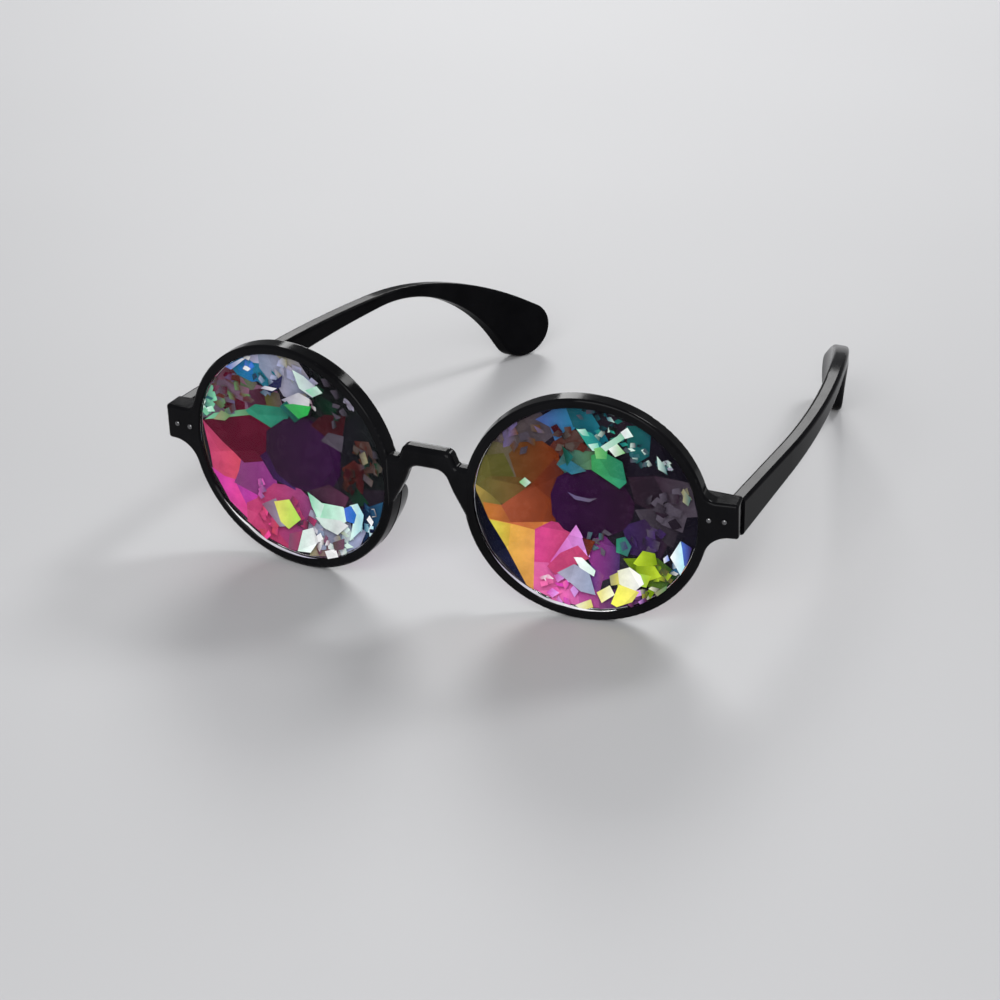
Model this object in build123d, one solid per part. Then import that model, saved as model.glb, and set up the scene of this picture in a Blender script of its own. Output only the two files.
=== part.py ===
from build123d import *
import math
import os

# Round glasses with faceted prism lenses: a moulded front, bonded nose pads and two hinged temples.
# The wearer looks along -Y, so the wearer's left is +X. Z is up and the part stands on z = 0.
# Everything is modelled on the +X side and mirrored, then moved so that the origin is under the middle.

# Front: two round rims, tilted and wrapped about the face
RIM_RADIUS = 27.0
RIM_WALL = 2.2
RIM_DEPTH = 4.0
NASAL_HALF_GAP = 8.46
FACE_TILT = 6.0
FACE_WRAP = 8.9
EDGE_ROUND = 0.7
LIP_CHAMFER = 0.3
CUT_OVERRUN = 5.0

# Groove that holds the lens, measured back from the rim's front face
GROOVE_START = 0.6
GROOVE_WIDTH = 1.3
GROOVE_DEPTH = 0.7
LENS_CLEARANCE = 0.05

# Lens: flat front, cut back with a table, star facets, kites and girdle facets
FACETS = 8
TABLE_RADIUS = 9.2
DOME_HEIGHT = 4.4
STAR_TILT = 9.5
GIRDLE_TILT = 20.5
FACET_TURN = 11.0

# Bridge between the rims; its heights are counted from the rims' centres
BRIDGE_RISE = 10.2
BRIDGE_TOP_HALF = 5.6
BRIDGE_SADDLE_HALF = 6.8
BRIDGE_SADDLE_RISE = 6.9
BRIDGE_FOOT_LAP = 1.6
BRIDGE_LEG_DROP = 7.2
BRIDGE_ARCH_RISE = 5.5
BRIDGE_ARCH_TOP_HALF = 3.9
BRIDGE_ARCH_FOOT_HALF = 5.8
BRIDGE_ARCH_FOOT_RISE = 0.8
BRIDGE_PROUD = 0.1
BRIDGE_DEPTH = 3.8
BRIDGE_CORNER_ROUND = 1.8
BRIDGE_ARCH_ROUND = 3.0
BRIDGE_SADDLE_ROUND = 0.9
BRIDGE_EDGE_ROUND = 1.2

# End-piece beside each rim, in the rim's own plane
END_LENGTH = 6.6
END_TOP = 5.5
END_BOTTOM = -2.8
END_TOP_BLEND = 3.0
END_BOTTOM_BLEND = 6.0
END_CORNER_ROUND = 0.6
END_DEPTH = 4.9

# Nose pads behind the rims
PAD_THICKNESS = 2.0
PAD_LENGTH = 17.0
PAD_DEPTH = 6.0
PAD_ANGLE = 24.0
PAD_SPLAY = 15.0
PAD_ROUND = 0.6

# Temples: plan curve of the outer face, then heights counted from the rims' centres
TEMPLE_THICKNESS = 3.6
TEMPLE_INSET = 0.14
TEMPLE_GAP = 0.2
TEMPLE_LEAD_ANGLE = 2.35
TEMPLE_STRAIGHT = 32.4
TEMPLE_MID_LENGTH = 50.4
TEMPLE_MID_RADIUS = 286.0
TEMPLE_END_RADIUS = 217.0
TEMPLE_RISE = 5.3
TEMPLE_DROP = 3.1
TEMPLE_LENGTH = 137.6
EAR_BEND_RISE = 2.4
EAR_BEND_UNDER_RISE = 0.9
EAR_BEND_SHARE = 0.79
EAR_TOP_RADIUS_SHARE = 3.4
EAR_BOTTOM_RADIUS_SHARE = 1.6
TIP_RADIUS = 6.8
TEMPLE_ROUND = 0.8

# Hinge: two leaves, three knuckles and a screw
KNUCKLE_RADIUS = 1.5
KNUCKLE_HEIGHT = 2.0
KNUCKLE_GAP = 0.06
KNUCKLE_CLEARANCE = 0.1
HINGE_RISE = 1.0
LEAF_THICKNESS = 1.0
LEAF_HEIGHT = 6.2
LEAF_INNER_WIDTH = 2.4
LEAF_OUTER_WIDTH = 3.6
LEAF_LENGTH = 11.0
LEAF_SET_BACK = 0.4
LEAF_ROUND = 0.8
WEB_HALF = 0.9
TANG_RADIUS = 0.7
TANG_LENGTH = 1.5
TANG_SPACING = 4.6

# Hinge screw
SCREW_RADIUS = 0.6
SCREW_CLEARANCE = 0.04
SCREW_HEAD_RADIUS = 1.1
SCREW_HEAD_HEIGHT = 0.5
SCREW_SLOT = 0.3

# Rivets through the end-piece into the front leaf
RIVET_RISE = 1.4
RIVET_HEAD_RADIUS = 0.65
RIVET_HEAD_HEIGHT = 0.45
RIVET_SHANK_RADIUS = 0.5
RIVET_CLEARANCE = 0.03
RIVET_INSET = 0.2
RIVET_SPACING = 3.4
DOME_SHARE = 0.9

WRAP_COS = math.cos(math.radians(FACE_WRAP))
WRAP_SIN = math.sin(math.radians(FACE_WRAP))
RIM_OPENING = RIM_RADIUS - RIM_WALL
RIM_CENTRE_X = RIM_RADIUS * WRAP_COS + NASAL_HALF_GAP
LENS_RADIUS = RIM_OPENING - LENS_CLEARANCE
TILT_COS = math.cos(math.radians(FACE_TILT))
TILT_SIN = math.sin(math.radians(FACE_TILT))
RIM_CENTRE_Z = (RIM_RADIUS - EDGE_ROUND) * TILT_COS - EDGE_ROUND * TILT_SIN + EDGE_ROUND
GROOVE_END = GROOVE_START + GROOVE_WIDTH
GIRDLE_DEPTH = GROOVE_END + LENS_CLEARANCE
TABLE_DEPTH = GIRDLE_DEPTH + DOME_HEIGHT
BRIDGE_FRONT_Y = -RIM_RADIUS * WRAP_SIN - BRIDGE_PROUD
BRIDGE_FOOT_HALF = NASAL_HALF_GAP + BRIDGE_FOOT_LAP
END_REACH = RIM_RADIUS + END_LENGTH
END_BACK_Y = RIM_RADIUS * WRAP_SIN + END_DEPTH
TEMPLE_FRONT_X = RIM_CENTRE_X + END_REACH * WRAP_COS - TEMPLE_INSET
TEMPLE_FRONT_Y = END_BACK_Y + TEMPLE_GAP
TEMPLE_TOP_Z = RIM_CENTRE_Z + TEMPLE_RISE
TEMPLE_BOTTOM_Z = RIM_CENTRE_Z - TEMPLE_DROP
TEMPLE_END_LENGTH = TEMPLE_LENGTH + CUT_OVERRUN * 2 - TEMPLE_STRAIGHT - TEMPLE_MID_LENGTH
EAR_BEND_BACK = TEMPLE_LENGTH * EAR_BEND_SHARE
EAR_LENGTH = TEMPLE_LENGTH - EAR_BEND_BACK
HINGE_X = TEMPLE_FRONT_X - TEMPLE_THICKNESS - KNUCKLE_CLEARANCE - KNUCKLE_RADIUS
HINGE_Y = END_BACK_Y + KNUCKLE_CLEARANCE + KNUCKLE_RADIUS
HINGE_Z = RIM_CENTRE_Z + HINGE_RISE
LEAF_INNER_X = HINGE_X - LEAF_INNER_WIDTH
LEAF_OUTER_X = HINGE_X + LEAF_OUTER_WIDTH
RIVET_INNER_U = RIM_RADIUS + RIVET_INSET
RIVET_OUTER_U = RIVET_INNER_U + RIVET_SPACING
FULL_TURN = 360


def rim_plane():
    """Plane of the rim's front face: x to the outer side, y up, z towards the viewer."""
    centre = (RIM_CENTRE_X, 0, RIM_CENTRE_Z)
    forward = (WRAP_SIN * TILT_COS, -WRAP_COS * TILT_COS, -TILT_SIN)
    return Plane(origin=centre, x_dir=(WRAP_COS, WRAP_SIN, 0), z_dir=forward)


def on_rim(shape):
    """Moves a shape from the rim's own frame to its place."""
    return rim_plane().location * shape


def turned(points):
    """Solid of revolution about the rim's axis from (radius, depth behind the front face) points."""
    outline = Polyline(*[(radius, -depth) for radius, depth in points], close=True)
    return revolve(Plane.XZ * make_face(outline), Axis.Z)


def mirrored(shape):
    return mirror(shape, about=Plane.YZ)


def rim_outline():
    """Round rim and end-piece as one outline, with concave blends where they meet."""
    middle = (END_TOP + END_BOTTOM) / 2
    tab = Pos(END_REACH / 2, middle) * Rectangle(END_REACH, END_TOP - END_BOTTOM)
    outline = Circle(RIM_RADIUS) + tab
    outline = fillet(outline.vertices().sort_by(Axis.X)[-2:], END_CORNER_ROUND)
    for height, blend in ((END_TOP, END_TOP_BLEND), (END_BOTTOM, END_BOTTOM_BLEND)):
        meeting = (math.sqrt(RIM_RADIUS**2 - height**2), height, 0)
        outline = fillet(outline.vertices().sort_by_distance(meeting)[0], blend)
    return outline


def rim_blank():
    """Rim and end-piece without the lens opening; the end-piece reaches back to its flat hinge face."""
    outline = rim_outline()
    ring = extrude(outline, -RIM_DEPTH)
    front = ring.faces().sort_by(Axis.Z)[-1].outer_wire().edges()
    ring = fillet(front, EDGE_ROUND)
    back = ring.faces().sort_by(Axis.Z)[0].outer_wire().edges()
    ring = fillet(back, EDGE_ROUND)
    start = RIM_OPENING + LIP_CHAMFER + EDGE_ROUND
    window = Pos((start + END_REACH) / 2, (END_TOP + END_BOTTOM) / 2)
    window *= Rectangle(END_REACH - start, END_TOP - END_BOTTOM)
    block = extrude(outline & window, -(RIM_DEPTH + CUT_OVERRUN))
    block -= extrude(outline, -RIM_DEPTH / 2)
    blank = on_rim(ring) + on_rim(block)
    behind = Box(END_REACH * 2, CUT_OVERRUN * 2, RIM_RADIUS * 2, align=(Align.CENTER, Align.MIN, Align.CENTER))
    return blank - Pos(RIM_CENTRE_X + END_REACH, END_BACK_Y, RIM_CENTRE_Z) * behind


def opening_cutter():
    """Lens opening with chamfered lips and the V groove."""
    lip = RIM_OPENING + LIP_CHAMFER
    return on_rim(turned([
        (0, -CUT_OVERRUN), (lip, -CUT_OVERRUN), (lip, 0), (RIM_OPENING, LIP_CHAMFER),
        (RIM_OPENING, GROOVE_START), (RIM_OPENING + GROOVE_DEPTH, GROOVE_START + GROOVE_WIDTH / 2),
        (RIM_OPENING, GROOVE_END), (RIM_OPENING, RIM_DEPTH - LIP_CHAMFER), (lip, RIM_DEPTH),
        (lip, RIM_DEPTH + CUT_OVERRUN * 2), (0, RIM_DEPTH + CUT_OVERRUN * 2)]))


def bridge():
    """Flat-topped bridge with an arch under it; its legs run into both rims."""
    plane = Plane(origin=(0, BRIDGE_FRONT_Y, RIM_CENTRE_Z), x_dir=(1, 0, 0), z_dir=(0, -TILT_COS, -TILT_SIN))
    top = (BRIDGE_TOP_HALF, BRIDGE_RISE)
    saddle = (BRIDGE_SADDLE_HALF, BRIDGE_SADDLE_RISE)
    crown = (BRIDGE_ARCH_TOP_HALF, BRIDGE_ARCH_RISE)
    half = [top, saddle, (BRIDGE_FOOT_HALF, BRIDGE_SADDLE_RISE), (BRIDGE_FOOT_HALF, -BRIDGE_LEG_DROP),
            (BRIDGE_ARCH_FOOT_HALF, BRIDGE_ARCH_FOOT_RISE), crown]
    shape = make_face(Polyline(*half, *[(-x, y) for x, y in reversed(half)], close=True))
    rounds = ((top, BRIDGE_CORNER_ROUND), (saddle, BRIDGE_SADDLE_ROUND), (crown, BRIDGE_ARCH_ROUND))
    for (x, y), radius in rounds:
        for side in (-1, 1):
            shape = fillet(shape.vertices().sort_by_distance((side * x, y, 0))[0], radius)
    solid = extrude(shape, -BRIDGE_DEPTH)
    rounded = solid.faces().sort_by(Axis.Z)[-1].edges() + solid.faces().sort_by(Axis.Z)[0].edges()
    return plane.location * fillet(rounded, BRIDGE_EDGE_ROUND)


def front_leaf():
    """Plate sunk in the end-piece's back face, with rounded corners; the same solid cuts its pocket."""
    face = fillet(Rectangle(LEAF_OUTER_X - LEAF_INNER_X, LEAF_HEIGHT).vertices(), LEAF_ROUND)
    plate = extrude(Plane.XZ * face, LEAF_THICKNESS)
    return Pos((LEAF_INNER_X + LEAF_OUTER_X) / 2, END_BACK_Y, HINGE_Z) * plate


def rivet_place(along):
    """Location on the end-piece's front face, in the rim's frame."""
    return Pos(along, RIVET_RISE, 0)


def rivet(along):
    """Domed head on the front face and a shank that reaches the hinge leaf."""
    depth = rivet_reach(along)
    shank = extrude(Circle(RIVET_SHANK_RADIUS), -depth)
    head = extrude(Circle(RIVET_HEAD_RADIUS), RIVET_HEAD_HEIGHT)
    head = fillet(head.faces().sort_by(Axis.Z)[-1].edges(), RIVET_HEAD_HEIGHT * DOME_SHARE)
    return on_rim(rivet_place(along) * (shank + head))


def rivet_reach(along):
    """Depth along the rim's axis from the front face to just inside the leaf's back."""
    start = rim_plane().from_local_coords(Vector(along, RIVET_RISE, 0))
    back = -rim_plane().z_dir.Y
    return (END_BACK_Y - start.Y) / back - RIVET_SHANK_RADIUS


def rivet_holes():
    holes = [rivet_place(u) * extrude(Circle(RIVET_SHANK_RADIUS + RIVET_CLEARANCE), -RIM_DEPTH * 2)
             for u in (RIVET_INNER_U, RIVET_OUTER_U)]
    return on_rim(holes[0] + holes[1])


def front_frame():
    """Both rims, the bridge and the end-pieces as one moulding."""
    blank = rim_blank()
    cutters = opening_cutter() + front_leaf() + rivet_holes()
    frame = blank + mirrored(blank) + bridge()
    return frame - cutters - mirrored(cutters)


def facet_plane(radius, depth, tilt, azimuth):
    """Plane of one facet: through (radius, depth) in its own direction, tilted from the lens plane."""
    t, a = math.radians(tilt), math.radians(azimuth)
    outward = (math.sin(t) * math.cos(a), math.sin(t) * math.sin(a), -math.cos(t))
    return Plane(origin=(radius * math.cos(a), radius * math.sin(a), -depth), z_dir=outward)


def lens():
    """Flat front, V edge in the rim's groove, and a cut back with table, stars, kites and girdle facets."""
    edge = LENS_RADIUS + GROOVE_DEPTH
    body = turned([(0, GROOVE_START), (LENS_RADIUS, GROOVE_START), (edge, GROOVE_START + GROOVE_WIDTH / 2),
                   (LENS_RADIUS, GROOVE_END), (LENS_RADIUS, TABLE_DEPTH), (0, TABLE_DEPTH)])
    step = FULL_TURN / FACETS
    kite_tilt = math.degrees(math.atan2(DOME_HEIGHT, LENS_RADIUS - TABLE_RADIUS))
    table_side = TABLE_RADIUS * math.cos(math.radians(step / 2))
    for n in range(FACETS):
        azimuth = FACET_TURN + n * step
        facets = [facet_plane(TABLE_RADIUS, TABLE_DEPTH, kite_tilt, azimuth),
                  facet_plane(table_side, TABLE_DEPTH, STAR_TILT, azimuth + step / 2),
                  facet_plane(LENS_RADIUS, GIRDLE_DEPTH, GIRDLE_TILT, azimuth + step / 4),
                  facet_plane(LENS_RADIUS, GIRDLE_DEPTH, GIRDLE_TILT, azimuth - step / 4)]
        for facet in facets:
            body = split(body, facet, keep=Keep.BOTTOM)
    return on_rim(body)


def nose_pad():
    """Fin behind the rim's nasal side, leaning away from the nose towards its rear edge."""
    outer = RIM_RADIUS
    inner = outer - PAD_THICKNESS
    lean = (PAD_DEPTH + CUT_OVERRUN) * math.tan(math.radians(PAD_SPLAY))
    far = RIM_DEPTH + PAD_DEPTH + CUT_OVERRUN
    band = turned([(inner, RIM_DEPTH), (outer, RIM_DEPTH), (outer - lean, far), (inner - lean, far)])
    shape = Pos(0, RIM_DEPTH) * Ellipse(PAD_LENGTH / 2, PAD_DEPTH)
    window = Plane(origin=(0, 0, 0), x_dir=(0, 1, 0), z_dir=(-1, 0, 0)) * shape
    window = Rot(0, 0, PAD_ANGLE) * extrude(window, RIM_RADIUS * 2)
    pad = band & window
    flat = pad.faces().sort_by(Axis.Z)[-1].edges()
    pad = fillet([edge for edge in pad.edges() if edge not in flat], PAD_ROUND)
    return on_rim(pad) - front_frame()


def temple_point(along, inset=0):
    """Point of the temple's plan at an arc length, moved inwards from the outer face."""
    heading = math.radians(TEMPLE_LEAD_ANGLE)
    x, y = TEMPLE_FRONT_X, TEMPLE_FRONT_Y
    step = min(along, TEMPLE_STRAIGHT)
    x -= step * math.sin(heading)
    y += step * math.cos(heading)
    for start, length, radius in ((TEMPLE_STRAIGHT, TEMPLE_MID_LENGTH, TEMPLE_MID_RADIUS),
                                  (TEMPLE_STRAIGHT + TEMPLE_MID_LENGTH, TEMPLE_END_LENGTH, TEMPLE_END_RADIUS)):
        turn = max(0, min(along - start, length)) / radius
        x += radius * (math.cos(heading + turn) - math.cos(heading))
        y += radius * (math.sin(heading + turn) - math.sin(heading))
        heading += turn
    return (x - inset * math.cos(heading), y - inset * math.sin(heading))


def temple_plan():
    """Plan of the temple: a straight start and two arcs that bend inwards."""
    mid = TEMPLE_STRAIGHT + TEMPLE_MID_LENGTH
    end = mid + TEMPLE_END_LENGTH
    sides = []
    for inset in (0, TEMPLE_THICKNESS):
        stops = [temple_point(s, inset) for s in (
            -CUT_OVERRUN, TEMPLE_STRAIGHT, (TEMPLE_STRAIGHT + mid) / 2, mid, (mid + end) / 2, end)]
        sides.append(stops)
    edges = []
    for stops in sides:
        edges += [Line(stops[0], stops[1]), ThreePointArc(stops[1], stops[2], stops[3]),
                  ThreePointArc(stops[3], stops[4], stops[5])]
    edges += [Line(sides[0][0], sides[1][0]), Line(sides[0][5], sides[1][5])]
    return make_face(edges)


def tangent_point(point, centre, radius, side):
    """Where a line from a point touches a circle, on the given side."""
    away = math.atan2(point[1] - centre[1], point[0] - centre[0])
    angle = away + side * math.acos(radius / math.dist(point, centre))
    return (centre[0] + radius * math.cos(angle), centre[1] + radius * math.sin(angle))


def temple_side():
    """Outline of the temple seen from the side, as (back, up) points: arm, ear bend and paddle tip."""
    front, bend = TEMPLE_FRONT_Y, TEMPLE_FRONT_Y + EAR_BEND_BACK
    centre = (front + TEMPLE_LENGTH - TIP_RADIUS, TIP_RADIUS)
    upper, lower = (bend, RIM_CENTRE_Z + EAR_BEND_RISE), (bend, RIM_CENTRE_Z + EAR_BEND_UNDER_RISE)
    top_touch = tangent_point(upper, centre, TIP_RADIUS, -1)
    low_touch = tangent_point(lower, centre, TIP_RADIUS, 1)
    away = math.atan2(centre[1] - upper[1], centre[0] - upper[0])
    tip = (centre[0] + TIP_RADIUS * math.cos(away), centre[1] + TIP_RADIUS * math.sin(away))
    outline = make_face([
        Line((front, TEMPLE_BOTTOM_Z), (front, TEMPLE_TOP_Z)), Line((front, TEMPLE_TOP_Z), upper),
        Line(upper, top_touch), ThreePointArc(top_touch, tip, low_touch),
        Line(low_touch, lower), Line(lower, (front, TEMPLE_BOTTOM_Z))])
    outline = fillet(outline.vertices().sort_by_distance((*upper, 0))[0], EAR_LENGTH * EAR_TOP_RADIUS_SHARE)
    return fillet(outline.vertices().sort_by_distance((*lower, 0))[0], EAR_LENGTH * EAR_BOTTOM_RADIUS_SHARE)


def temple_leaf():
    """Hinge leaf sunk in the temple's inner face, with two tangs that anchor it."""
    face = fillet(Rectangle(LEAF_LENGTH, LEAF_HEIGHT).vertices(), LEAF_ROUND)
    plate = extrude(Plane.YZ * face, LEAF_THICKNESS)
    for back in (-TANG_SPACING / 2, TANG_SPACING / 2):
        plate += Pos(LEAF_THICKNESS, back, 0) * (Plane.YZ * extrude(Circle(TANG_RADIUS), TANG_LENGTH))
    x, y = temple_point(LEAF_SET_BACK, TEMPLE_THICKNESS)
    return Pos(x, y, HINGE_Z) * Rot(0, 0, TEMPLE_LEAD_ANGLE) * Pos(0, LEAF_LENGTH / 2, 0) * plate


def temple():
    """Temple arm with its ear bend and paddle tip, and the recess for its hinge leaf."""
    height = TEMPLE_TOP_Z + CUT_OVERRUN
    arm = extrude(temple_plan(), height)
    side = extrude(Plane.YZ * temple_side(), TEMPLE_FRONT_X + CUT_OVERRUN)
    arm = arm & side
    butt = arm.faces().sort_by(Axis.Y)[0].edges()
    rounded = [e for e in arm.edges() if e not in butt]
    arm = fillet(rounded, TEMPLE_ROUND)
    return arm - temple_leaf()


def knuckle(level):
    """One hinge knuckle, bored for the screw, at a level counted from the middle one."""
    barrel = Circle(KNUCKLE_RADIUS) - Circle(SCREW_RADIUS + SCREW_CLEARANCE)
    z = HINGE_Z + level * (KNUCKLE_HEIGHT + KNUCKLE_GAP) - KNUCKLE_HEIGHT / 2
    return Pos(HINGE_X, HINGE_Y, z) * extrude(barrel, KNUCKLE_HEIGHT)


def screw_bore():
    return Pos(HINGE_X, HINGE_Y, 0) * extrude(Circle(SCREW_RADIUS + SCREW_CLEARANCE), TEMPLE_TOP_Z * 2)


def hinge_front():
    """Front leaf in the end-piece with its upper and lower knuckles."""
    part = front_leaf()
    for level in (-1, 1):
        z = HINGE_Z + level * (KNUCKLE_HEIGHT + KNUCKLE_GAP)
        web = Box(WEB_HALF * 2, HINGE_Y - END_BACK_Y + LEAF_THICKNESS / 2, KNUCKLE_HEIGHT,
                  align=(Align.CENTER, Align.MIN, Align.CENTER))
        part += Pos(HINGE_X, END_BACK_Y - LEAF_THICKNESS / 2, z) * web + knuckle(level)
    return part - screw_bore() - rivet_holes()


def hinge_temple():
    """Temple leaf with the middle knuckle."""
    inner = temple_point(0, TEMPLE_THICKNESS)
    web = Box(inner[0] - HINGE_X + LEAF_THICKNESS / 2, WEB_HALF * 2, KNUCKLE_HEIGHT,
              align=(Align.MIN, Align.CENTER, Align.CENTER))
    return temple_leaf() + Pos(HINGE_X, HINGE_Y, HINGE_Z) * web + knuckle(0) - screw_bore()


def hinge_screw():
    """Slotted screw through the three knuckles."""
    reach = (KNUCKLE_HEIGHT * 3) / 2 + KNUCKLE_GAP
    shank = extrude(Circle(SCREW_RADIUS), reach * 2)
    head = Pos(0, 0, reach * 2) * extrude(Circle(SCREW_HEAD_RADIUS), SCREW_HEAD_HEIGHT)
    slot = Box(SCREW_HEAD_RADIUS * 3, SCREW_SLOT, SCREW_HEAD_HEIGHT)
    screw = shank + head - Pos(0, 0, reach * 2 + SCREW_HEAD_HEIGHT) * slot
    return Pos(HINGE_X, HINGE_Y, HINGE_Z - reach) * screw


def pieces():
    """Every node by name, still in the rims' frame."""
    named = {"front_frame": front_frame()}
    sided = {"lens": lens(), "nose_pad": nose_pad(), "temple": temple(), "hinge_front": hinge_front(),
             "hinge_temple": hinge_temple(), "hinge_screw": hinge_screw(),
             "rivet_inner": rivet(RIVET_INNER_U), "rivet_outer": rivet(RIVET_OUTER_U)}
    for name, shape in sided.items():
        named[name + "_left"] = shape
        named[name + "_right"] = mirrored(shape)
    return named


def main():
    os.makedirs("parts", exist_ok=True)
    named = pieces()
    boxes = [shape.bounding_box() for shape in named.values()]
    shift = -(min(b.min.Y for b in boxes) + max(b.max.Y for b in boxes)) / 2
    for name, shape in named.items():
        export_step(Pos(0, shift, 0) * shape, f"parts/{name}.step")
    print("hinge axis at", HINGE_X, round(HINGE_Y + shift, 4), HINGE_Z, "shift", round(shift, 4))


if __name__ == "__main__":
    main()
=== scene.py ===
import math
import random
import bpy
from mathutils import Matrix, Vector


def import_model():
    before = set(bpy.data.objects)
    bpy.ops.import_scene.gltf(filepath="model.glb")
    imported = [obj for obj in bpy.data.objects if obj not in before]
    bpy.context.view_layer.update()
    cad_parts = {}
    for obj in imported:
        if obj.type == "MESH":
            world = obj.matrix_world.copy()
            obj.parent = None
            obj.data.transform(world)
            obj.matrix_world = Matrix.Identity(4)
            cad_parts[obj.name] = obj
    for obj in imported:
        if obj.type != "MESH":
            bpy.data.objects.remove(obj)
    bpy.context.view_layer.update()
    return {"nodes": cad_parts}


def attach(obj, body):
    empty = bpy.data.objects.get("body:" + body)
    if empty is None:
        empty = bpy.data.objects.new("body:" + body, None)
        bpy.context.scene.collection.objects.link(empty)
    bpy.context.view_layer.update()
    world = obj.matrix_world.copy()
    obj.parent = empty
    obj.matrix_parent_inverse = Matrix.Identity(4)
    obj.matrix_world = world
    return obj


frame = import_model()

MM = 0.001
SIDES = {"left": 1, "right": -1}

# Camera: direction of view, distance, aim and roll, for a square picture
CAMERA_AZIMUTH = 23.895
CAMERA_ELEVATION = 23.534
CAMERA_ROLL = 0.327
CAMERA_DISTANCE = 992.5 * MM
CAMERA_AIM = (-8.8 * MM, -16.283 * MM, 0)
CAMERA_LENS = 154.9
CAMERA_REACH = (1 * MM, 50)
SENSOR_WIDTH = 36

# Lens cut, as in the solid: sizes in the rim's plane and depths behind the rim's front
RIM_CENTRE = (35.135 * MM, -70.826 * MM, 26.783 * MM)
FACE_WRAP = 8.9
FACE_TILT = 6.0
LENS_RADIUS = 24.75 * MM
TABLE_RADIUS = 9.2 * MM
TABLE_DEPTH = 6.35 * MM
GIRDLE_DEPTH = 1.95 * MM
STAR_TILT = 9.5
GIRDLE_TILT = 20.5
FACET_TURN = 11.0
FACETS = 8

# Coating: its distance inside the glass, the step between its layers, and how outlines are laid on it
COATING_INSET = 0.06 * MM
LAYER_STEP = 0.008 * MM
COATING_RADIUS = LENS_RADIUS - COATING_INSET
COATING_CORNERS = 96
FEWEST_CORNERS = 3
FADE_LEAST_WIDTH = 1 * MM
PAINTED_PATCH_LAP_SHARE = 0.012
# Painted shade: the share by which each facet's part of a patch is made lighter or darker
FACET_PAINTED_SHADE_SHARE = 0.12

# Small painted reflections scattered in clusters: seed, number of corners, how far a corner strays and how
# slim each can be
PAINTED_REFLECTION_BIT_SEED = 11
PAINTED_REFLECTION_BIT_CORNERS = 4
PAINTED_REFLECTION_BIT_STRAY_SHARE = 0.3
PAINTED_REFLECTION_BIT_SLIM_SHARE = 0.3

# Painted highlight: a thin crescent of light painted inside the lens edge
CRESCENT_SHARE = 0.99
CRESCENT_WIDTH_SHARE = 0.022
CRESCENT_STEPS = 24
LEFT_CRESCENT_ANGLES = (-148, -76)
RIGHT_CRESCENT_ANGLES = (-142, -78)

# Noise values between which a finish changes
NOISE_LOW = 0.3
NOISE_HIGH = 0.7

# Noise of each finish: repeats per metre, detail and roughness
POLISH_SWIRL = (90.0, 4.0, 0.6)
PLASTIC_GRAIN = (2600.0, 2.0, 0.5)
DRAWN_LINES = (1500.0, 3.0, 0.6)
METAL_CLOUD = (400.0, 3.0, 0.5)
GLASS_SMEAR = (60.0, 3.0, 0.5)
COATING_CLOUD = (260.0, 4.0, 0.6)
FLOOR_CLOUD = (3.0, 2.0, 0.5)

# Black mouldings: two blacks, relief of the grain, then roughness range and index of each moulding
BLACKS = ((0.0025, 0.0025, 0.003), (0.006, 0.006, 0.007))
GRAIN_RELIEF = (0.12, 0.02 * MM)
FRAME_FINISH = (0.06, 0.13, 1.15)
TEMPLE_FINISH = (0.09, 0.17, 1.07)

# Metals: relief of the drawn lines, then colour, roughness range and stretch of the lines
DRAWN_RELIEF = (0.2, 0.01 * MM)
METAL_SHADE_SHARE = 0.75
HINGE_FINISH = ((0.62, 0.62, 0.64), 0.25, 0.42, (1, 1, 6))
SCREW_FINISH = ((0.7, 0.7, 0.72), 0.2, 0.35, (6, 1, 1))
RIVET_FINISH = ((0.2, 0.2, 0.205), 0.10, 0.20, (1, 1, 1))

# Lens glass: tint, index, roughness range, and how much it mirrors from a steep to a low angle
GLASS_TINT = (0.97, 0.98, 1.0)
GLASS_INDEX = 1.5
GLASS_ROUGHNESS = (0.0, 0.012)
GLASS_MIRROR_SHARES = (0.0, 0.8)
GLASS_MIRROR_FACING = (0.45, 0.9)

# Coating finish: brightness range, roughness range and gloss
COATING_SHADE = (0.82, 1.12)
COATING_ROUGHNESS = (0.18, 0.34)
COATING_GLOSS = 0.1

# Floor, surroundings and lamps, in metres; a lamp has its place, edge length and power in watts
FLOOR_SIZE = 6.0
FLOOR_COLOURS = ((0.53, 0.53, 0.54), (0.57, 0.57, 0.58))
FLOOR_ROUGHNESS = 0.55
FLOOR_GLOSS = 0.2
WORLD_COLOUR = (0.90, 0.91, 0.93)
WORLD_STRENGTH = 0.35
LAMPS = {
    "key": ((0.3, -1.3, 0.7), 1.0, 17),
    "back": ((-0.45, 0.97, 0.56), 0.4, 5.5),
    "side": ((0.36, 0.77, 0.85), 0.3, 4.5),
}
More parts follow.
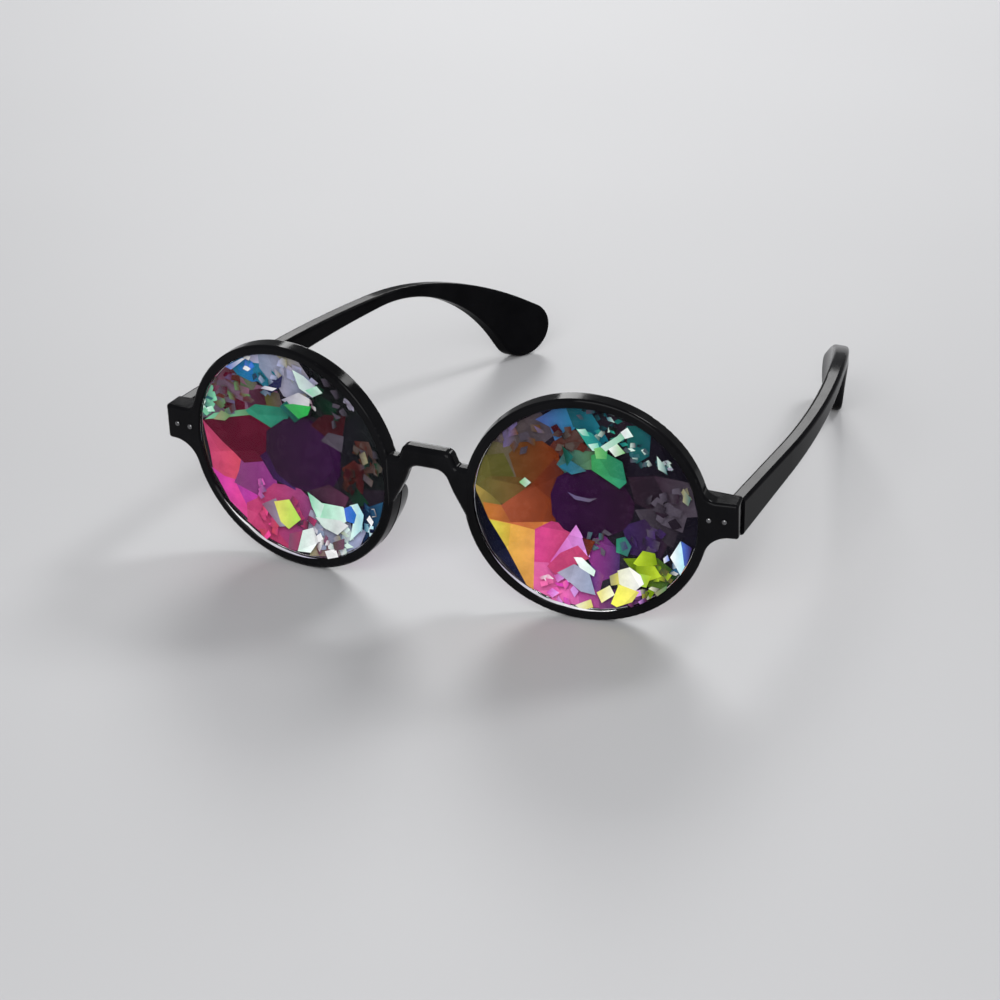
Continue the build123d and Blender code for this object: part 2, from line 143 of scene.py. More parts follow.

# Colours of the coating and of the reflections, shade and highlights painted into it, by name, as red,
# green and blue shares of the display range
TONE_SHARES = {
    "smoke": (0.15, 0.12, 0.16), "plum": (0.20, 0.14, 0.19), "ash": (0.30, 0.27, 0.31),
    "violet": (0.20, 0.05, 0.23), "aubergine": (0.17, 0.08, 0.17), "indigo": (0.24, 0.15, 0.36),
    "olive": (0.35, 0.34, 0.15), "khaki": (0.39, 0.37, 0.19), "umber": (0.37, 0.32, 0.30),
    "heather": (0.41, 0.36, 0.52), "bronze": (0.41, 0.27, 0.14), "rust": (0.46, 0.19, 0.08),
    "mustard": (0.66, 0.56, 0.28), "amber": (0.82, 0.50, 0.22), "copper": (0.60, 0.30, 0.20),
    "gold": (0.88, 0.70, 0.27), "apricot": (0.90, 0.63, 0.32), "salmon": (0.82, 0.42, 0.28),
    "hotpink": (0.80, 0.24, 0.52), "pink": (0.93, 0.42, 0.66), "orchid": (0.80, 0.34, 0.66),
    "lilac": (0.85, 0.60, 0.90), "rose": (0.75, 0.24, 0.44), "silver": (0.66, 0.64, 0.72),
    "white": (0.97, 0.97, 0.97), "maroon": (0.25, 0.08, 0.11), "purple": (0.58, 0.20, 0.53),
    "iris": (0.38, 0.24, 0.62), "seagreen": (0.18, 0.54, 0.42), "lime": (0.75, 0.85, 0.20),
    "moss": (0.46, 0.58, 0.08), "cream": (0.97, 0.97, 0.84), "yellow": (0.93, 0.92, 0.34),
    "straw": (0.90, 0.86, 0.42), "sky": (0.31, 0.47, 0.86), "mauve": (0.52, 0.25, 0.46),
    "blue": (0.30, 0.36, 0.62), "azure": (0.14, 0.47, 0.60), "petrol": (0.11, 0.32, 0.36),
    "aqua": (0.24, 0.75, 0.63), "night": (0.09, 0.08, 0.12), "pine": (0.11, 0.40, 0.38),
    "frost": (0.86, 0.96, 0.91), "green": (0.25, 0.63, 0.36), "leaf": (0.50, 0.77, 0.47),
    "slate": (0.24, 0.42, 0.44), "bottle": (0.09, 0.24, 0.17), "brick": (0.34, 0.15, 0.12),
    "beige": (0.62, 0.60, 0.46), "black": (0.02, 0.02, 0.04), "navy": (0.05, 0.07, 0.22),
    "crimson": (0.36, 0.03, 0.15), "coral": (0.80, 0.28, 0.35), "raspberry": (0.74, 0.25, 0.42),
    "magenta": (0.82, 0.24, 0.67), "bright": (0.97, 0.30, 0.60), "wine": (0.36, 0.19, 0.29),
    "chartreuse": (0.69, 0.89, 0.35), "graphite": (0.10, 0.12, 0.12), "pewter": (0.35, 0.32, 0.37),
    "mint": (0.52, 0.84, 0.67), "cobalt": (0.14, 0.46, 0.80), "ice": (0.67, 0.90, 0.95),
    "steel": (0.55, 0.60, 0.70), "lavender": (0.70, 0.71, 0.84), "denim": (0.16, 0.36, 0.50),
    "teal": (0.12, 0.47, 0.55), "ink": (0.19, 0.19, 0.36), "emerald": (0.20, 0.79, 0.35),
    "jade": (0.17, 0.50, 0.42), "sage": (0.38, 0.55, 0.36), "dusk": (0.51, 0.33, 0.43),
}

# Tones of the dark ground, of the table and the facets around it from the back, and of the painted
# highlight crescent
GROUND_TONES = ("smoke", "night")
TABLE_TONES = ("violet", "indigo")
WHEEL_TONES = ("copper", "gold", "lime", "seagreen", "azure", "iris", "magenta", "raspberry")
PAINTED_HIGHLIGHT_CRESCENT_TONES = ("silver", "white")

# Large patches of each lens, partly the coating's own rainbow colour and partly painted reflection, as
# tone, second tone and outline, in shares of the lens radius
LEFT_COAT_AND_PAINTED_LIGHT_ZONES_SHARES = [
    ("plum", "smoke", ((0.36, 0.30), (0.62, 0.36), (0.74, 0.17), (0.60, 0.01), (0.42, 0.06))),
    ("plum", "ash", ((0.60, 0.36), (0.92, 0.36), (0.98, 0.05), (0.80, 0.00), (0.70, 0.17))),
    ("ash", "smoke", ((0.42, -0.02), (0.62, 0.04), (0.68, -0.10), (0.82, -0.05), (0.76, -0.30),
                      (0.56, -0.26))),
    ("pewter", "ash", ((0.60, 0.04), (0.72, 0.12), (0.88, 0.02), (0.84, -0.14), (0.66, -0.10))),
    ("indigo", "plum", ((0.30, -0.20), (0.50, -0.10), (0.70, -0.30), (0.64, -0.44), (0.38, -0.44))),
    ("umber", "ash", ((-0.87, 0.55), (-0.70, 0.74), (-0.40, 0.90), (-0.28, 0.68), (-0.42, 0.55),
                      (-0.62, 0.48))),
    ("olive", "umber", ((-1.00, 0.10), (-0.98, 0.30), (-0.85, 0.58), (-0.60, 0.52), (-0.58, 0.18),
                        (-0.74, -0.06))),
    ("khaki", "olive", ((-0.99, 0.12), (-0.92, 0.42), (-0.74, 0.44), (-0.66, 0.22))),
    ("heather", "umber", ((-0.74, 0.68), (-0.66, 0.72), (-0.62, 0.56), (-0.73, 0.52))),
    ("bronze", "rust", ((-0.68, 0.44), (-0.58, 0.56), (-0.40, 0.58), (-0.27, 0.48), (-0.26, 0.30),
                        (-0.50, 0.10), (-0.62, 0.18))),
    ("brick", "umber", ((-0.32, 0.55), (-0.18, 0.74), (-0.04, 0.72), (0.08, 0.60), (0.00, 0.50),
                        (-0.22, 0.44))),
    ("khaki", "bronze", ((-0.99, 0.12), (-0.85, 0.20), (-0.60, 0.20), (-0.52, 0.10), (-0.74, -0.06),
                         (-0.88, -0.02))),
    ("rust", "brick", ((-0.52, 0.11), (-0.30, 0.40), (-0.22, 0.30), (-0.31, 0.05), (-0.35, -0.04))),
    ("mustard", "khaki", ((-1.00, 0.12), (-0.86, 0.01), (-0.74, -0.11), (-0.84, -0.19), (-0.96, -0.10))),
    ("amber", "copper", ((-0.92, -0.06), (-0.76, -0.09), (-0.62, -0.27), (-0.88, -0.24))),
    ("copper", "rust", ((-0.76, -0.08), (-0.50, 0.13), (-0.32, -0.04), (-0.31, -0.26), (-0.66, -0.28))),
    ("salmon", "amber", ((-0.74, -0.25), (-0.32, -0.23), (-0.47, -0.36), (-0.60, -0.34))),
    ("hotpink", "raspberry", ((-0.52, -0.34), (-0.34, -0.23), (-0.14, -0.26), (-0.22, -0.42),
                              (-0.33, -0.68), (-0.52, -0.72))),
    ("pink", "orchid", ((-0.53, -0.62), (-0.36, -0.62), (-0.10, -0.76), (0.02, -0.99), (-0.28, -0.97),
                        (-0.53, -0.86))),
    ("orchid", "mauve", ((-0.10, -0.80), (0.06, -0.82), (0.22, -0.98), (-0.06, -1.00))),
    ("gold", "apricot", ((-0.88, -0.22), (-0.68, -0.27), (-0.49, -0.32), (-0.50, -0.88), (-0.58, -0.86))),
    ("yellow", "gold", ((-0.88, -0.23), (-0.70, -0.27), (-0.72, -0.52))),
    ("night", "plum", ((0.00, 0.95), (0.20, 0.98), (0.54, 0.84), (0.42, 0.70), (0.15, 0.58))),
    ("blue", "azure", ((-0.43, 0.82), (-0.25, 0.96), (-0.08, 0.96), (-0.11, 0.76), (-0.28, 0.62),
                       (-0.31, 0.76))),
    ("petrol", "teal", ((-0.16, 0.98), (0.04, 0.96), (0.19, 0.66), (0.16, 0.58), (-0.10, 0.78))),
    ("pine", "petrol", ((0.37, 0.84), (0.48, 0.88), (0.57, 0.78), (0.55, 0.58), (0.44, 0.48),
                        (0.37, 0.60))),
    ("slate", "sage", ((-0.27, 0.36), (-0.18, 0.52), (0.10, 0.52), (0.07, 0.35), (-0.08, 0.33),
                       (-0.20, 0.28))),
    ("violet", "aubergine", ((-0.33, 0.05), (-0.27, 0.22), (-0.12, 0.32), (0.10, 0.32), (0.30, 0.22),
                             (0.40, 0.05), (0.38, -0.10), (0.30, -0.22), (0.12, -0.33), (-0.05, -0.35),
                             (-0.22, -0.28), (-0.32, -0.15))),
    ("purple", "indigo", ((0.04, -0.36), (0.14, -0.32), (0.27, -0.44), (0.27, -0.64), (0.12, -0.72),
                          (-0.01, -0.52))),
    ("iris", "mauve", ((0.02, -0.60), (0.13, -0.68), (0.10, -0.84), (-0.04, -0.72))),
    ("mauve", "indigo", ((0.10, -0.84), (0.24, -0.80), (0.30, -0.96), (0.12, -1.00))),
    ("indigo", "mauve", ((0.28, -0.96), (0.46, -0.78), (0.64, -0.74), (0.46, -0.92))),
    ("moss", "bottle", ((0.32, -0.50), (0.62, -0.44), (0.82, -0.56), (0.62, -0.76), (0.44, -0.64))),
    # Painted shade: a black wedge inside the lower left edge, where the rim's inner wall shows dark
    # through the glass
    ("black", "navy", ((-1.02, 0.08), (-0.88, -0.22), (-0.58, -0.87), (-0.64, -0.90), (-0.92, -0.55),
                       (-1.05, -0.20))),
]
RIGHT_COAT_AND_PAINTED_LIGHT_ZONES_SHARES = [
    ("graphite", "night", ((0.40, 0.50), (0.60, 0.80), (0.92, 0.40), (0.97, -0.10), (0.60, -0.20),
                           (0.42, 0.10))),
    ("graphite", "black", ((0.20, 0.66), (0.18, 0.98), (0.60, 0.82), (0.76, 0.62), (0.50, 0.42),
                           (0.28, 0.50))),
    ("bottle", "black", ((0.16, 0.40), (0.28, 0.66), (0.50, 0.58), (0.36, 0.40))),
    ("brick", "dusk", ((-0.86, 0.55), (-0.70, 0.74), (-0.56, 0.74), (-0.58, 0.56), (-0.72, 0.48))),
    ("dusk", "pewter", ((-0.99, 0.16), (-0.96, 0.36), (-0.84, 0.58), (-0.54, 0.62), (-0.18, 0.57),
                        (-0.14, 0.38), (-0.50, 0.26))),
    ("mint", "slate", ((-0.99, 0.18), (-0.95, 0.40), (-0.86, 0.52), (-0.83, 0.36), (-0.90, 0.22))),
    ("crimson", "maroon", ((-0.78, 0.32), (-0.70, 0.42), (-0.55, 0.38), (-0.56, 0.26), (-0.70, 0.24))),
    ("umber", "sage", ((-0.63, 0.62), (-0.50, 0.72), (-0.38, 0.62), (-0.47, 0.48))),
    ("maroon", "wine", ((-0.52, 0.50), (-0.30, 0.58), (-0.27, 0.42), (-0.50, 0.34))),
    ("umber", "olive", ((-0.31, 0.56), (-0.16, 0.55), (-0.16, 0.38), (-0.30, 0.38))),
    ("sage", "mint", ((-0.99, 0.12), (-0.85, 0.22), (-0.50, 0.32), (-0.46, 0.23))),
    ("jade", "seagreen", ((-0.53, 0.30), (-0.42, 0.38), (-0.18, 0.40), (-0.09, 0.36), (-0.13, 0.26),
                          (-0.32, 0.16), (-0.43, 0.20))),
    ("coral", "raspberry", ((-1.01, 0.12), (-0.78, -0.05), (-0.58, -0.20), (-0.60, -0.36), (-0.67, -0.46),
                            (-0.94, -0.40))),
    ("bright", "magenta", ((-0.96, -0.36), (-0.80, -0.42), (-0.64, -0.44), (-0.54, -0.66), (-0.53, -0.82),
                           (-0.78, -0.66))),
    ("magenta", "purple", ((-0.70, -0.43), (-0.48, -0.48), (-0.44, -0.60), (-0.57, -0.68))),
    ("purple", "mauve", ((-0.62, -0.20), (-0.42, -0.15), (-0.30, -0.30), (-0.26, -0.50), (-0.44, -0.54),
                         (-0.70, -0.45), (-0.65, -0.34))),
    ("raspberry", "rose", ((-0.58, -0.64), (-0.45, -0.56), (-0.26, -0.72), (-0.12, -1.00), (-0.42, -0.92),
                           (-0.58, -0.82))),
    ("mauve", "rose", ((-0.30, -0.40), (-0.05, -0.38), (0.14, -0.50), (0.06, -0.80), (-0.08, -1.00),
                       (-0.28, -0.82), (-0.47, -0.56))),
    ("crimson", "crimson", ((-1.00, 0.13), (-0.50, 0.25), (-0.30, 0.16), (-0.28, 0.00), (-0.40, -0.18),
                            (-0.60, -0.23), (-0.80, -0.06))),
    ("indigo", "violet", ((-0.43, -0.15), (-0.28, -0.02), (-0.10, -0.30), (-0.08, -0.40),
                          (-0.30, -0.34))),
    ("violet", "aubergine", ((-0.34, 0.12), (-0.14, 0.28), (0.08, 0.36), (0.28, 0.30), (0.45, 0.10),
                             (0.43, -0.12), (0.32, -0.30), (0.10, -0.38), (-0.10, -0.37), (-0.26, -0.28),
                             (-0.36, -0.08))),
    ("wine", "plum", ((0.06, -0.39), (0.30, -0.27), (0.52, -0.32), (0.46, -0.45), (0.15, -0.43))),
    ("maroon", "maroon", ((0.16, 0.30), (0.30, 0.44), (0.58, 0.52), (0.50, 0.28), (0.38, 0.20))),
    ("pewter", "ash", ((0.26, 0.17), (0.35, 0.27), (0.52, 0.29), (0.47, 0.12))),
    ("maroon", "brick", ((0.48, -0.05), (0.62, 0.07), (0.74, 0.00), (0.70, -0.22), (0.54, -0.26))),
    ("umber", "brick", ((0.66, 0.28), (0.82, 0.32), (0.92, 0.06), (0.74, 0.00))),
    ("bottle", "graphite", ((0.48, -0.26), (0.60, -0.17), (0.76, -0.30), (0.62, -0.38))),
    ("denim", "navy", ((0.68, -0.40), (0.94, -0.24), (0.90, -0.46), (0.70, -0.70))),
    ("steel", "silver", ((0.10, -0.56), (0.30, -0.60), (0.54, -0.56), (0.60, -0.76), (0.22, -0.90),
                         (0.04, -0.74))),
    ("lavender", "steel", ((0.42, -0.88), (0.58, -0.66), (0.74, -0.56), (0.66, -0.76), (0.48, -0.92))),
    ("dusk", "beige", ((0.12, -0.90), (0.30, -0.85), (0.34, -0.97), (0.10, -1.00))),
    ("rose", "dusk", ((-0.12, -0.84), (0.02, -0.78), (0.04, -0.96), (-0.14, -1.00))),
    ("cobalt", "teal", ((-0.63, 0.78), (-0.50, 0.88), (-0.33, 0.88), (-0.28, 0.68), (-0.42, 0.64),
                        (-0.55, 0.68))),
    ("teal", "azure", ((-0.37, 0.88), (-0.26, 0.80), (-0.18, 0.60), (-0.28, 0.60), (-0.38, 0.68))),
    ("lavender", "silver", ((-0.44, 0.90), (-0.30, 0.97), (-0.22, 0.86), (-0.36, 0.85))),
    ("silver", "steel", ((-0.29, 0.94), (-0.08, 0.98), (0.08, 0.86), (0.00, 0.73), (-0.20, 0.66),
                         (-0.30, 0.80))),
    ("silver", "beige", ((-0.10, 0.98), (0.12, 0.98), (0.22, 0.82), (0.12, 0.70), (-0.02, 0.74),
                         (0.05, 0.86))),
    ("steel", "silver", ((-0.14, 0.64), (0.00, 0.80), (0.18, 0.77), (0.22, 0.62), (0.00, 0.53),
                         (-0.10, 0.55))),
]

# Clusters of small painted reflections: middle, spread, number, size (shares of the lens radius) and tones
LEFT_PAINTED_REFLECTION_BITS_SHARES = [
    (0.25, 0.70, 0.20, 18, 0.032, ("frost", "aqua", "pine", "night", "teal")),
    (0.46, 0.56, 0.12, 12, 0.026, ("pewter", "petrol", "night", "slate", "frost")),
    (0.70, 0.50, 0.07, 8, 0.022, ("frost", "silver", "slate")),
    (0.89, 0.24, 0.06, 4, 0.028, ("beige", "pewter")),
    (0.12, 0.90, 0.16, 10, 0.030, ("night", "petrol", "graphite", "pewter")),
    (-0.14, 0.64, 0.16, 12, 0.045, ("brick", "black", "umber", "maroon")),
    (-0.55, 0.66, 0.20, 10, 0.050, ("umber", "heather", "ash", "bronze")),
    (0.72, 0.10, 0.20, 10, 0.055, ("ash", "plum", "pewter", "smoke")),
    (0.55, -0.26, 0.15, 9, 0.050, ("indigo", "ash", "smoke")),
    (0.10, -0.34, 0.12, 7, 0.035, ("maroon", "slate", "pewter")),
    (0.42, -0.72, 0.20, 18, 0.045, ("cream", "yellow", "lime", "moss", "night")),
    (0.64, -0.62, 0.13, 14, 0.035, ("moss", "bottle", "lime", "khaki")),
    (0.80, -0.44, 0.10, 9, 0.035, ("sky", "bottle", "denim", "white")),
    (-0.16, -0.86, 0.18, 12, 0.045, ("pink", "orchid", "lilac", "magenta")),
    (-0.37, -0.76, 0.07, 5, 0.030, ("white", "pink")),
    (0.42, -0.90, 0.16, 10, 0.035, ("indigo", "mauve", "night", "lilac")),
]
RIGHT_PAINTED_REFLECTION_BITS_SHARES = [
    (-0.68, 0.50, 0.22, 28, 0.050, ("dusk", "brick", "umber", "pewter", "crimson", "sage", "heather")),
    (-0.91, 0.30, 0.09, 9, 0.035, ("mint", "slate", "petrol", "frost")),
    (-0.50, 0.83, 0.12, 9, 0.035, ("sky", "cobalt", "teal", "white")),
    (-0.26, 0.68, 0.14, 10, 0.036, ("ink", "lavender", "teal", "steel", "petrol")),
    (0.08, 0.76, 0.20, 14, 0.055, ("silver", "steel", "lavender", "beige")),
    (0.20, 0.55, 0.07, 5, 0.030, ("apricot", "dusk", "white")),
    (0.36, -0.72, 0.20, 20, 0.050, ("steel", "white", "silver", "frost", "beige")),
    (0.76, -0.46, 0.14, 16, 0.040, ("denim", "ice", "white", "navy")),
    (0.28, -0.92, 0.14, 10, 0.035, ("dusk", "white", "brick", "umber")),
    (0.78, 0.12, 0.17, 18, 0.040, ("umber", "brick", "ash", "bottle", "graphite")),
    (0.60, -0.12, 0.12, 9, 0.050, ("brick", "maroon", "graphite")),
    (0.42, 0.62, 0.22, 12, 0.050, ("graphite", "pewter", "black", "bottle")),
    (0.66, 0.68, 0.06, 5, 0.030, ("pewter", "silver")),
    (-0.34, -0.80, 0.16, 10, 0.045, ("raspberry", "coral", "bright", "rose")),
    (0.00, -0.60, 0.14, 7, 0.045, ("wine", "mauve", "plum", "rose")),
    (-0.45, -0.44, 0.08, 4, 0.035, ("heather", "orchid")),
]

# Small painted reflections, mostly bright glints, in front of the others, in shares of the lens radius
LEFT_PAINTED_REFLECTION_ACCENTS_SHARES = [
    ("orchid", "lilac", ((-0.11, -0.22), (-0.07, -0.30), (0.01, -0.50), (-0.14, -0.46), (-0.33, -0.58))),
    ("rose", "raspberry", ((-0.35, -0.62), (-0.24, -0.50), (-0.10, -0.42), (0.00, -0.52), (-0.14, -0.60),
                           (-0.28, -0.69))),
    ("silver", "steel", ((-0.12, -0.60), (-0.26, -0.68), (-0.06, -0.82), (0.07, -0.84), (0.00, -0.64))),
    ("maroon", "rust", ((-0.05, -0.34), (0.05, -0.36), (0.00, -0.50))),
    ("white", "frost", ((-0.12, -0.53), (-0.05, -0.53), (0.06, -0.62), (0.05, -0.67), (-0.06, -0.61))),
    ("seagreen", "slate", ((0.26, -0.31), (0.33, -0.28), (0.38, -0.35), (0.35, -0.44), (0.26, -0.42))),
    ("slate", "indigo", ((0.29, -0.34), (0.33, -0.32), (0.35, -0.37), (0.31, -0.40))),
    ("lime", "moss", ((0.42, -0.50), (0.50, -0.38), (0.60, -0.38), (0.62, -0.47), (0.50, -0.53))),
    ("moss", "lime", ((0.44, -0.53), (0.60, -0.50), (0.66, -0.58), (0.54, -0.64), (0.46, -0.60))),
    ("chartreuse", "lime", ((0.47, -0.60), (0.57, -0.60), (0.53, -0.70), (0.47, -0.70))),
    ("cream", "white", ((0.28, -0.60), (0.38, -0.56), (0.47, -0.61), (0.50, -0.68), (0.42, -0.76),
                        (0.30, -0.71))),
    ("yellow", "straw", ((0.29, -0.73), (0.46, -0.77), (0.40, -0.86), (0.28, -0.92), (0.23, -0.90))),
    ("straw", "cream", ((0.10, -0.82), (0.20, -0.75), (0.24, -0.82), (0.14, -0.90))),
    ("cream", "straw", ((-0.09, -0.96), (0.03, -0.90), (0.05, -0.96), (-0.03, -0.99))),
    ("beige", "straw", ((0.21, -0.66), (0.27, -0.62), (0.28, -0.71), (0.22, -0.73))),
    ("white", "ice", ((0.76, -0.38), (0.84, -0.22), (0.88, -0.42), (0.85, -0.52))),
    ("sky", "indigo", ((0.85, -0.22), (0.94, -0.26), (0.91, -0.42), (0.88, -0.42))),
    ("beige", "sage", ((0.62, -0.74), (0.72, -0.66), (0.71, -0.70), (0.66, -0.77))),
    ("aqua", "teal", ((-0.07, 0.78), (0.06, 0.74), (0.15, 0.62), (0.13, 0.58), (0.03, 0.60))),
    ("frost", "aqua", ((-0.06, 0.77), (0.00, 0.78), (0.03, 0.72), (-0.02, 0.73))),
    ("frost", "aqua", ((0.03, 0.62), (0.10, 0.64), (0.12, 0.57), (0.06, 0.57))),
    ("azure", "slate", ((-0.24, 0.36), (-0.14, 0.42), (-0.02, 0.34), (-0.14, 0.30))),
    ("bottle", "pine", ((-0.21, 0.58), (-0.13, 0.48), (-0.18, 0.38))),
    ("green", "seagreen", ((0.05, 0.50), (0.14, 0.56), (0.31, 0.48), (0.34, 0.28), (0.28, 0.21),
                           (0.05, 0.36))),
    ("leaf", "green", ((0.08, 0.58), (0.19, 0.63), (0.17, 0.50), (0.09, 0.49))),
    ("frost", "mint", ((0.14, 0.62), (0.34, 0.80), (0.37, 0.76), (0.18, 0.58))),
    ("white", "frost", ((0.33, 0.80), (0.38, 0.85), (0.42, 0.78), (0.36, 0.75))),
    ("white", "leaf", ((0.21, 0.60), (0.28, 0.66), (0.34, 0.59), (0.26, 0.54))),
    ("frost", "slate", ((0.64, 0.60), (0.69, 0.52), (0.72, 0.44), (0.65, 0.48))),
    ("beige", "slate", ((0.88, 0.30), (0.93, 0.24), (0.91, 0.17), (0.87, 0.20))),
    ("leaf", "frost", ((-0.59, 0.18), (-0.55, 0.22), (-0.51, 0.18), (-0.55, 0.14))),
    ("heather", "pewter", ((-0.17, 0.11), (-0.10, 0.05), (0.00, 0.04), (0.07, 0.08), (0.00, 0.07),
                           (-0.09, 0.08))),
]
RIGHT_PAINTED_REFLECTION_ACCENTS_SHARES = [
    ("sage", "beige", ((-0.84, 0.18), (-0.76, 0.27), (-0.68, 0.24), (-0.74, 0.19))),
    ("silver", "dusk", ((-0.40, -0.60), (-0.26, -0.52), (-0.14, -0.74), (-0.22, -0.76))),
    ("chartreuse", "straw", ((-0.27, -0.55), (-0.12, -0.50), (0.00, -0.65), (-0.12, -0.76),
                             (-0.20, -0.71))),
    ("frost", "mint", ((0.10, -0.38), (0.25, -0.44), (0.48, -0.41), (0.55, -0.50), (0.46, -0.58),
                       (0.20, -0.60))),
    ("frost", "mint", ((0.09, -0.38), (0.26, -0.45), (0.21, -0.60), (0.14, -0.50))),
    ("white", "frost", ((0.18, -0.59), (0.45, -0.55), (0.54, -0.57), (0.42, -0.68), (0.28, -0.66))),
    ("ice", "frost", ((0.57, -0.38), (0.66, -0.33), (0.72, -0.42), (0.69, -0.56), (0.57, -0.70),
                      (0.61, -0.52))),
    ("cobalt", "sky", ((0.51, -0.42), (0.58, -0.38), (0.63, -0.44), (0.61, -0.52), (0.53, -0.52))),
    ("white", "frost", ((-0.01, -0.95), (0.04, -0.76), (0.14, -0.71), (0.19, -0.82), (0.12, -0.93))),
    ("white", "white", ((0.29, -0.89), (0.40, -0.84), (0.44, -0.91), (0.34, -0.96))),
    ("dusk", "umber", ((0.38, -0.78), (0.50, -0.71), (0.49, -0.80), (0.40, -0.84))),
    ("white", "sky", ((-0.63, 0.77), (-0.46, 0.90), (-0.42, 0.89), (-0.58, 0.75))),
    ("ink", "navy", ((-0.27, 0.60), (-0.05, 0.79), (-0.10, 0.66), (-0.20, 0.58))),
    ("white", "silver", ((-0.30, 0.60), (-0.20, 0.60), (-0.15, 0.63), (-0.25, 0.63))),
    ("silver", "frost", ((0.09, 0.88), (0.20, 0.84), (0.36, 0.73), (0.25, 0.65), (0.13, 0.71))),
    ("frost", "mint", ((0.20, 0.70), (0.32, 0.77), (0.37, 0.72), (0.27, 0.66))),
    ("white", "silver", ((-0.10, 0.52), (0.10, 0.64), (0.21, 0.61), (0.18, 0.50), (0.00, 0.49))),
    ("bottle", "pine", ((-0.13, 0.44), (-0.05, 0.51), (0.08, 0.38), (0.00, 0.32))),
    ("emerald", "green", ((-0.08, 0.47), (0.02, 0.50), (0.21, 0.53), (0.15, 0.43), (0.05, 0.37))),
    ("beige", "umber", ((0.73, 0.18), (0.79, 0.23), (0.81, 0.14), (0.76, 0.10))),
    ("umber", "ash", ((0.77, 0.00), (0.86, -0.03), (0.84, -0.09), (0.76, -0.05))),
    ("silver", "pewter", ((0.63, 0.73), (0.71, 0.68), (0.69, 0.64))),
    ("pewter", "ash", ((0.46, 0.54), (0.55, 0.52), (0.50, 0.49))),
]


def linear(share):
    """Display share to light share."""
    return ((share + 0.055) / 1.055) ** 2.4 if share > 0.04045 else share / 12.92


def tone(name):
    """Named colour of the coating and of its painted reflections as light shares."""
    return tuple(linear(share) for share in TONE_SHARES[name])


# Materials

def new_material(name):
    """Material with one Principled shader; returns it with its tree and shader."""
    mat = bpy.data.materials.new(name)
    mat.use_nodes = True
    tree = mat.node_tree
    return mat, tree, tree.nodes["Principled BSDF"]


def node(tree, kind, **values):
    """New node with its settings and input values."""
    made = tree.nodes.new(kind)
    for key, value in values.items():
        if hasattr(made, key):
            setattr(made, key, value)
        else:
            made.inputs[key.replace("_", " ")].default_value = value
    return made


def noise(tree, settings, stretch=(1, 1, 1)):
    """Noise in the piece's own metres, so that its grain has a real size."""
    scale, detail, roughness = settings
    place = node(tree, "ShaderNodeTexCoord")
    mapping = node(tree, "ShaderNodeMapping", Scale=stretch)
    grain = node(tree, "ShaderNodeTexNoise", Scale=scale, Detail=detail, Roughness=roughness)
    tree.links.new(place.outputs["Object"], mapping.inputs["Vector"])
    tree.links.new(mapping.outputs["Vector"], grain.inputs["Vector"])
    return grain.outputs["Fac"]


def ranged(tree, socket, low, high, start=NOISE_LOW, end=NOISE_HIGH):
    """Spreads a value between two limits."""
    spread = node(tree, "ShaderNodeMapRange", From_Min=start, From_Max=end, To_Min=low, To_Max=high)
    tree.links.new(socket, spread.inputs["Value"])
    return spread.outputs["Result"]


def ramp(tree, socket, dark, pale):
    """Colour between two, picked by a noise value."""
    made = node(tree, "ShaderNodeValToRGB")
    stops = made.color_ramp.elements
    stops[0].position = NOISE_LOW
    stops[0].color = (*dark, 1)
    stops[1].position = NOISE_HIGH
    stops[1].color = (*pale, 1)
    tree.links.new(socket, made.inputs["Fac"])
    return made.outputs["Color"]


def bump(tree, shader, socket, strength, distance):
    """Fine relief from a noise value."""
    made = node(tree, "ShaderNodeBump", Strength=strength, Distance=distance)
    tree.links.new(socket, made.inputs["Height"])
    tree.links.new(made.outputs["Normal"], shader.inputs["Normal"])


def black_plastic(name, low, high, index):
    """Polished black moulding: soft swirls in the polish and a very fine grain."""
    mat, tree, shader = new_material(name)
    swirl = noise(tree, POLISH_SWIRL)
    tree.links.new(ramp(tree, swirl, *BLACKS), shader.inputs["Base Color"])
    tree.links.new(ranged(tree, swirl, low, high), shader.inputs["Roughness"])
    bump(tree, shader, noise(tree, PLASTIC_GRAIN), *GRAIN_RELIEF)
    shader.inputs["IOR"].default_value = index
    return mat


def brushed_metal(name, colour, low, high, stretch):
    """Drawn metal: fine lines along one direction and small cloudy changes in shade."""
    mat, tree, shader = new_material(name)
    lines = noise(tree, DRAWN_LINES, stretch)
    dark = tuple(c * METAL_SHADE_SHARE for c in colour)
    tree.links.new(ramp(tree, noise(tree, METAL_CLOUD), dark, colour), shader.inputs["Base Color"])
    tree.links.new(ranged(tree, lines, low, high), shader.inputs["Roughness"])
    bump(tree, shader, lines, *DRAWN_RELIEF)
    shader.inputs["Metallic"].default_value = 1.0
    return mat


def let_light_through(tree, shader):
    """Passes shadow rays and diffuse rays straight through a glass shader."""
    path = node(tree, "ShaderNodeLightPath")
    either = node(tree, "ShaderNodeMath", operation="MAXIMUM")
    clear = node(tree, "ShaderNodeBsdfTransparent")
    mix = node(tree, "ShaderNodeMixShader")
    tree.links.new(path.outputs["Is Shadow Ray"], either.inputs[0])
    tree.links.new(path.outputs["Is Diffuse Ray"], either.inputs[1])
    tree.links.new(either.outputs["Value"], mix.inputs["Fac"])
    tree.links.new(shader.outputs["BSDF"], mix.inputs[1])
    tree.links.new(clear.outputs["BSDF"], mix.inputs[2])
    tree.links.new(mix.outputs["Shader"], tree.nodes["Material Output"].inputs["Surface"])


